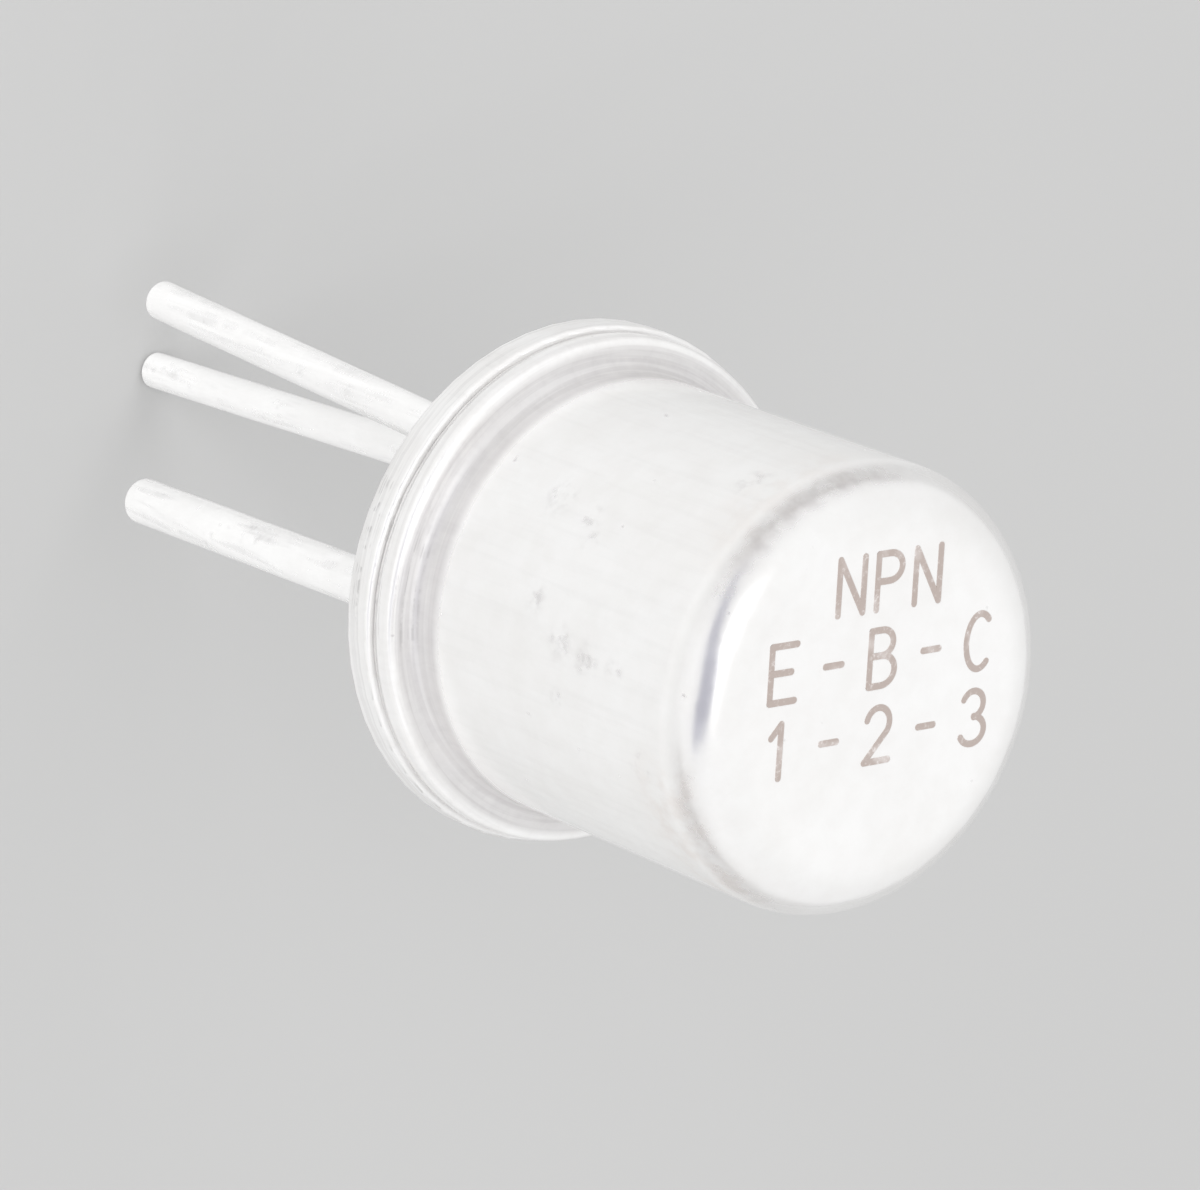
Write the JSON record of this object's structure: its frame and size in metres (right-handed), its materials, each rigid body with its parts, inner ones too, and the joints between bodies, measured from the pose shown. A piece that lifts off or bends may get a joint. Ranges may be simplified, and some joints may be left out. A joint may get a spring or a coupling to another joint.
{
  "type": "npn transistor",
  "caption": "Round metal-can transistor with a welded rim flange, a flat nose and three wire leads in a right-angled pattern beneath.",
  "frame": {"origin": "centre of the seating plane, on the can's axis under the header's flange", "axes": "+Z along the can's axis to its nose; leads leave towards -Z; emitter lead on +X, base lead on +Y, collector lead on -X; tab at -45 degrees"},
  "size_m": [0.0058, 0.0058, 0.0137],
  "materials": {
    "cap_nickel": "bright nickel, slightly satin",
    "header_plate": "nickel-plated iron-nickel-cobalt alloy",
    "seal_glass": "fused, dark grey-green",
    "lead_plate": "bright tin plate",
    "gold": "bright gold",
    "silicon": "polished silicon"
  },
  "bodies": {
    "root": {"cap": "cap_nickel", "header": "header_plate", "glass_seal": "seal_glass", "emitter_lead": "lead_plate", "base_lead": "lead_plate", "collector_lead": "lead_plate", "die_attach": "gold", "die": "silicon", "emitter_wire": "gold", "base_wire": "gold"}
  },
  "joints": []
}
